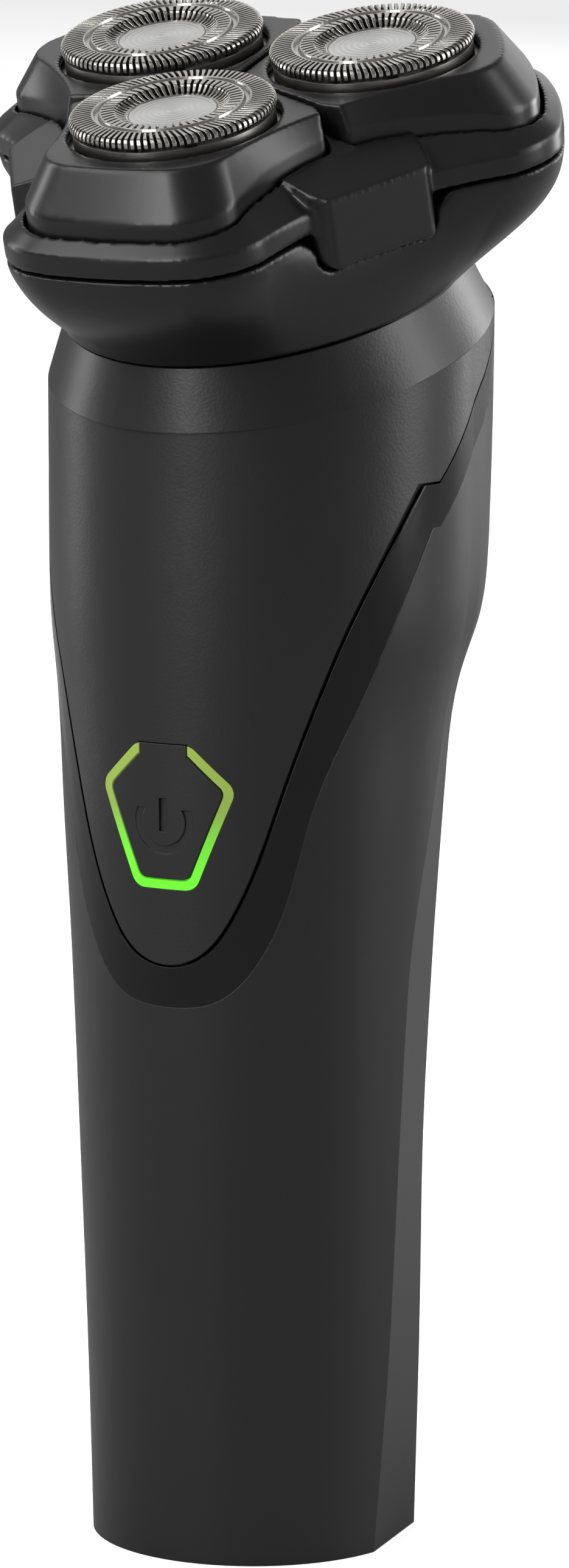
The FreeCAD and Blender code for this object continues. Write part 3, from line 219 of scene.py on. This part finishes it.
def plastic(name, dark, light, rough, grain, depth, cell_share=0.0, **sockets):
    """Moulded plastic: uneven colour and gloss, a fine moulded grain and softened edges."""
    material, tree, shader = new_material(name, **sockets)
    where = put(tree, "ShaderNodeTexCoord").outputs["Object"]
    cloud = noise(tree, where, CLOUD_SCALE, Detail=3.0)["Fac"]
    tree.links.new(tint(tree, cloud, dark, light), shader.inputs["Base Color"])
    fine = noise(tree, where, 1 / grain, Detail=2.5, Roughness=0.6)["Fac"]
    tree.links.new(spread(tree, fine, rough[0], rough[1]), shader.inputs["Roughness"])
    height = fine
    if cell_share:
        warp = noise(tree, where, 0.5 / grain)["Color"]
        bent = put(tree, "ShaderNodeVectorMath", operation="MULTIPLY_ADD")
        tree.links.new(warp, bent.inputs[0])
        bent.inputs[1].default_value = (grain, grain, grain)
        tree.links.new(where, bent.inputs[2])
        cell = put(tree, "ShaderNodeTexVoronoi",
                   {"Vector": bent.outputs[0], "Scale": 0.7 / grain},
                   feature="SMOOTH_F1").outputs["Distance"]
        blend = put(tree, "ShaderNodeMix", {0: cell_share}, data_type="FLOAT")
        tree.links.new(fine, blend.inputs[2])
        tree.links.new(cell, blend.inputs[3])
        height = blend.outputs[0]
    bump_with_soft_edges(tree, shader, height, depth, PLASTIC_EDGE)
    return material


def metal(name, dark, light, rough, scratch=(900.0, 900.0, 900.0), depth=0.004 * MM):
    """Ground or plated metal: fine marks, longer along any axis with a lower scale."""
    material, tree, shader = new_material(name, Metallic=1.0)
    where = put(tree, "ShaderNodeTexCoord").outputs["Object"]
    stretched = put(tree, "ShaderNodeMapping", {"Vector": where, "Scale": scratch}).outputs[0]
    marks = noise(tree, stretched, 1.0, Detail=4.0)["Fac"]
    tree.links.new(tint(tree, marks, dark, light), shader.inputs["Base Color"])
    tree.links.new(spread(tree, marks, rough[0], rough[1]), shader.inputs["Roughness"])
    bump_with_soft_edges(tree, shader, marks, depth, METAL_EDGE)
    return material


def lit_guide(name):
    """The light guide: pale olive at its open top, bright green at its foot."""
    material, tree, shader = new_material(name)
    where = put(tree, "ShaderNodeTexCoord").outputs["Object"]
    high = put(tree, "ShaderNodeSeparateXYZ", {"Vector": where}).outputs["Z"]
    low_box, high_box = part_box("light_guide")
    along = put(tree, "ShaderNodeMapRange",
                {"Value": high, "From Min": low_box.z, "From Max": high_box.z}).outputs[0]
    ramp = put(tree, "ShaderNodeValToRGB", {"Fac": along})
    stops = ramp.color_ramp.elements
    stops[0].color = (0.12, 0.8, 0.02, 1)
    stops[1].color = (0.24, 0.34, 0.05, 1)
    stops.new(0.3).color = (0.14, 0.6, 0.03, 1)
    stops.new(0.55).color = (0.2, 0.32, 0.05, 1)
    haze = noise(tree, where, 900.0, Detail=2.0)["Fac"]
    tree.links.new(spread(tree, haze, 0.25, 0.4), shader.inputs["Roughness"])
    tree.links.new(ramp.outputs[0], shader.inputs["Base Color"])
    tree.links.new(ramp.outputs[0], shader.inputs["Emission Color"])
    shader.inputs["Emission Strength"].default_value = GUIDE_GLOW
    return material


# name: (dark colour, light colour, roughness, grain in mm, depth in mm, other settings)
PLASTICS = {
    "cover_textured": ((0.008, 0.008, 0.009), (0.012, 0.012, 0.013), (0.32, 0.42), 0.2, 0.016,
                       {"cell_share": 0.6, "Specular_IOR_Level": 0.45}),
    "button_satin": ((0.009, 0.009, 0.010), (0.013, 0.013, 0.014), (0.38, 0.5), 0.2, 0.012,
                     {"cell_share": 0.6, "Specular_IOR_Level": 0.4}),
    "shell_satin": ((0.011, 0.010, 0.011), (0.014, 0.013, 0.014), (0.36, 0.42), 0.12, 0.003,
                    {"Specular_IOR_Level": 0.4}),
    "head_satin": ((0.006, 0.006, 0.007), (0.010, 0.010, 0.011), (0.28, 0.34), 0.10, 0.005,
                   {"Specular_IOR_Level": 0.4}),
    "band_gloss": ((0.003, 0.003, 0.004), (0.005, 0.005, 0.006), (0.10, 0.14), 0.8, 0.001,
                   {"Specular_IOR_Level": 0.3}),
    "rubber_black": ((0.012, 0.012, 0.012), (0.02, 0.02, 0.02), (0.6, 0.75), 0.15, 0.008, {}),
    "switch_black": ((0.02, 0.02, 0.02), (0.03, 0.03, 0.03), (0.4, 0.5), 0.12, 0.004, {}),
    "chassis_grey": ((0.07, 0.075, 0.085), (0.09, 0.095, 0.105), (0.4, 0.55), 0.2, 0.008, {}),
    "nylon_white": ((0.68, 0.67, 0.62), (0.76, 0.75, 0.7), (0.35, 0.5), 0.25, 0.005, {}),
    "hub_plastic": ((0.03, 0.03, 0.035), (0.045, 0.045, 0.05), (0.4, 0.5), 0.15, 0.005, {}),
    "board_green": ((0.008, 0.06, 0.02), (0.012, 0.09, 0.03), (0.25, 0.4), 0.8, 0.01, {}),
    "battery_wrap": ((0.01, 0.05, 0.2), (0.015, 0.07, 0.26), (0.2, 0.32), 1.5, 0.01, {}),
    "led_white": ((0.7, 0.7, 0.6), (0.8, 0.8, 0.7), (0.2, 0.3), 0.2, 0.002, {}),
}

# name: (dark colour, light colour, roughness, other settings)
METALS = {
    "cap_steel": ((0.34, 0.33, 0.31), (0.46, 0.44, 0.41), (0.18, 0.28), {"depth": 0.0015 * MM}),
    "disc_steel": ((0.5, 0.5, 0.49), (0.66, 0.66, 0.65), (0.28, 0.4), {}),
    "sleeve_steel": ((0.26, 0.25, 0.235), (0.36, 0.35, 0.33), (0.26, 0.38),
                     {"scratch": (400.0, 400.0, 6000.0)}),
    "cutter_steel": ((0.07, 0.07, 0.07), (0.12, 0.12, 0.12), (0.3, 0.45), {}),
    "screw_steel": ((0.4, 0.4, 0.4), (0.55, 0.55, 0.55), (0.25, 0.4), {}),
    "spring_steel": ((0.4, 0.4, 0.41), (0.55, 0.55, 0.56), (0.2, 0.35), {}),
    "tab_nickel": ((0.55, 0.54, 0.5), (0.68, 0.67, 0.62), (0.2, 0.3), {}),
    "motor_can": ((0.42, 0.43, 0.44), (0.58, 0.59, 0.6), (0.25, 0.4),
                  {"scratch": (300.0, 300.0, 4000.0)}),
    "socket_metal": ((0.5, 0.5, 0.5), (0.65, 0.65, 0.65), (0.2, 0.32), {}),
    "magnet_nickel": ((0.55, 0.55, 0.56), (0.7, 0.7, 0.71), (0.08, 0.18), {}),
    "gear_brass": ((0.55, 0.4, 0.16), (0.68, 0.5, 0.22), (0.2, 0.32), {}),
}

finishes = {}
for name, (dark, light, rough, grain, depth, settings) in PLASTICS.items():
    finishes[name] = plastic(name, dark, light, rough, grain * MM, depth * MM, **settings)
for name, (dark, light, rough, settings) in METALS.items():
    finishes[name] = metal(name, dark, light, rough, **settings)
finishes["light_green"] = lit_guide("light_green")

for part in frame["record"]["subparts"]:
    node = frame["nodes"][part["node"]]
    node.data.materials.clear()
    node.data.materials.append(finishes[part["material_slot"]])

# ---------------------------------------------------------------- softened head

SOFTENED = ["head_frame", "head_bowl", "petal_1", "petal_2", "petal_3"]
SKIN_VOXEL = 0.22 * MM
SOFTEN_FACTOR = 0.5
SOFTEN_PASSES = 10

for name in SOFTENED:
    node = frame["nodes"][name]
    skin = node.modifiers.new("even_skin", "REMESH")
    skin.mode = "VOXEL"
    skin.voxel_size = SKIN_VOXEL
    skin.use_smooth_shade = True
    soften = node.modifiers.new("soft_edges", "SMOOTH")
    soften.factor = SOFTEN_FACTOR
    soften.iterations = SOFTEN_PASSES

# ---------------------------------------------------------------- mesh helpers


def link(name, mesh, finish, body, place, smooth=True):
    """Put a mesh into the scene as a piece that rides on a body."""
    for face in mesh.polygons:
        face.use_smooth = smooth
    mesh.materials.append(finish)
    piece = bpy.data.objects.new(name, mesh)
    bpy.context.collection.objects.link(piece)
    piece.matrix_world = place
    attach(piece, body)
    return piece


def finished_mesh(bm, name, weld=0.0):
    """Turn a shape drawn in mm into a mesh in metres; points within weld mm are joined."""
    for vertex in bm.verts:
        vertex.co *= MM
    if weld:
        bmesh.ops.remove_doubles(bm, verts=bm.verts, dist=weld * MM)
    bmesh.ops.recalc_face_normals(bm, faces=bm.faces)
    mesh = bpy.data.meshes.new(name)
    bm.to_mesh(mesh)
    bm.free()
    return mesh


def join_rings(bm, first, second):
    """Faces between two closed rings with the same number of points."""
    for index in range(len(first)):
        onward = (index + 1) % len(first)
        bm.faces.new((first[index], first[onward], second[onward], second[index]))


def lathe(bm, outline, segments):
    """A closed outline (radius, height) turned into a ring."""
    rings = []
    for step in range(segments):
        turn = TAU * step / segments
        rings.append([bm.verts.new((radius * math.cos(turn), radius * math.sin(turn), high))
                      for radius, high in outline])
    for step in range(segments):
        join_rings(bm, rings[(step + 1) % segments], rings[step])


def arc(centre, radius, start, stop, steps):
    """Points on an arc in the (radius, height) plane, angles in degrees."""
    points = []
    for step in range(steps + 1):
        turn = math.radians(start + (stop - start) * step / steps)
        points.append((centre[0] + radius * math.cos(turn), centre[1] + radius * math.sin(turn)))
    return points


def profile_normals(stations, flip):
    """Normals (radius, height) on the left of a profile, or on its right if flip is -1."""
    normals = []
    for index in range(len(stations)):
        first = stations[max(index - 1, 0)]
        last = stations[min(index + 1, len(stations) - 1)]
        run, rise = last[0] - first[0], last[1] - first[1]
        size = math.hypot(run, rise)
        normals.append((-rise / size * flip, run / size * flip))
    return normals


# ---------------------------------------------------------------- shaving caps, lengths in mm

CAP_TOP = 0.75
OUTER_TEETH = 92
INNER_TEETH = 54
SLOT = 0.3
THINNEST_HALF_TOOTH = 0.08
TOOTH_DEPTH = 0.28
TOOTH_BEVEL = 0.03
TRACK_SWEEP = math.radians(5.0)
GROOVE_RADIUS = 7.55
SWEEP_SPAN = 2.8
CAP_SEGMENTS = 96

DISC_RADIUS = 4.44
DISC_STEPS = 46
DISC_SEGMENTS = 72
DISC_BOTTOM = -0.4
RIPPLE_PITCH = 0.62
RIPPLE_HEIGHT = 0.02
CROWN_HEIGHT = 0.05
DISC_SINK = 0.03
POLE_RADIUS = 0.01
WELD = 0.02


def tooth_strip(bm, stations, half_widths, normals, angle, lean):
    """One tooth that follows the profile stations (radius, height)."""
    rings = []
    for index, (radius, high) in enumerate(stations):
        out_r, out_z = normals[index]
        turn = angle + lean[index]
        along = Vector((math.cos(turn), math.sin(turn), 0))
        across = Vector((-math.sin(turn), math.cos(turn), 0))
        half = half_widths[index]
        inset = half - TOOTH_BEVEL
        ring = []
        for side, down in ((-half, TOOTH_DEPTH), (-half, TOOTH_BEVEL), (-inset, 0),
                           (inset, 0), (half, TOOTH_BEVEL), (half, TOOTH_DEPTH)):
            spot = along * (radius - out_r * down) + across * side
            spot.z = high - out_z * down
            ring.append(bm.verts.new(spot))
        rings.append(ring)
    for first, second in zip(rings, rings[1:]):
        join_rings(bm, first, second)
    bm.faces.new(list(reversed(rings[0])))
    bm.faces.new(rings[-1])


def cap_mesh(name):
    """The slotted cap about its own axis: two tracks of teeth, the groove and the inner rim."""
    bm = bmesh.new()
    outer_line = [(7.95, CAP_TOP), (8.6, CAP_TOP), (9.3, CAP_TOP)]
    outer_line += arc((9.75, CAP_TOP - 0.65), 0.65, 90, 0, 6)
    outer_line += [(10.4, -0.1), (10.34, -0.26)]
    inner_line = [(7.15, CAP_TOP), (6.6, CAP_TOP), (6.15, CAP_TOP)]
    inner_line += arc((5.9, CAP_TOP - 0.35), 0.35, 90, 155, 4)
    inner_line += [(5.05, 0.2), (4.6, 0.06)]
    for line, count, flip in ((outer_line, OUTER_TEETH, 1.0), (inner_line, INNER_TEETH, -1.0)):
        normals = profile_normals(line, flip)
        halves = [max(radius * math.pi / count - SLOT / 2, THINNEST_HALF_TOOTH)
                  for radius, high in line]
        lean = [TRACK_SWEEP * (radius - GROOVE_RADIUS) / SWEEP_SPAN for radius, high in line]
        for index in range(count):
            tooth_strip(bm, line, halves, normals, TAU * index / count, lean)
    groove = [(8.03, CAP_TOP), (7.87, CAP_TOP - 0.03), (7.7, CAP_TOP - 0.42),
              (7.4, CAP_TOP - 0.42), (7.23, CAP_TOP - 0.03), (7.07, CAP_TOP),
              (7.07, CAP_TOP - 0.3), (7.3, CAP_TOP - 0.65), (7.8, CAP_TOP - 0.65),
              (8.03, CAP_TOP - 0.3)]
    inner_rim = [(4.65, 0.07), (4.48, 0.0), (4.42, -0.3), (4.8, -0.3), (4.85, -0.02)]
    for outline in (groove, inner_rim):
        lathe(bm, outline, CAP_SEGMENTS)
    return finished_mesh(bm, name)


def disc_mesh(name):
    """The turned disc in the middle of a cap: shallow rings about a low crown."""
    bm = bmesh.new()
    outline = []
    for step in range(DISC_STEPS + 1):
        reach = DISC_RADIUS * step / DISC_STEPS
        ripple = RIPPLE_HEIGHT * math.cos(TAU * reach / RIPPLE_PITCH)
        crown = CROWN_HEIGHT * (1 - (reach / DISC_RADIUS) ** 2)
        outline.append((max(reach, POLE_RADIUS), ripple + crown - DISC_SINK))
    outline += [(DISC_RADIUS, DISC_BOTTOM), (POLE_RADIUS, DISC_BOTTOM)]
    lathe(bm, outline, DISC_SEGMENTS)
    return finished_mesh(bm, name, WELD)


for name in LOBE_ANGLES:
    body = "cap_" + name
    cap = link("slotted_cap_" + name, cap_mesh("slotted_cap_" + name), finishes["cap_steel"],
               body, lobe_frame(name), smooth=False)
    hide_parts("cap_" + name)
    disc = link("turned_disc_" + name, disc_mesh("turned_disc_" + name), finishes["disc_steel"],
                body, lobe_frame(name))
    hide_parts("cap_disc_" + name)
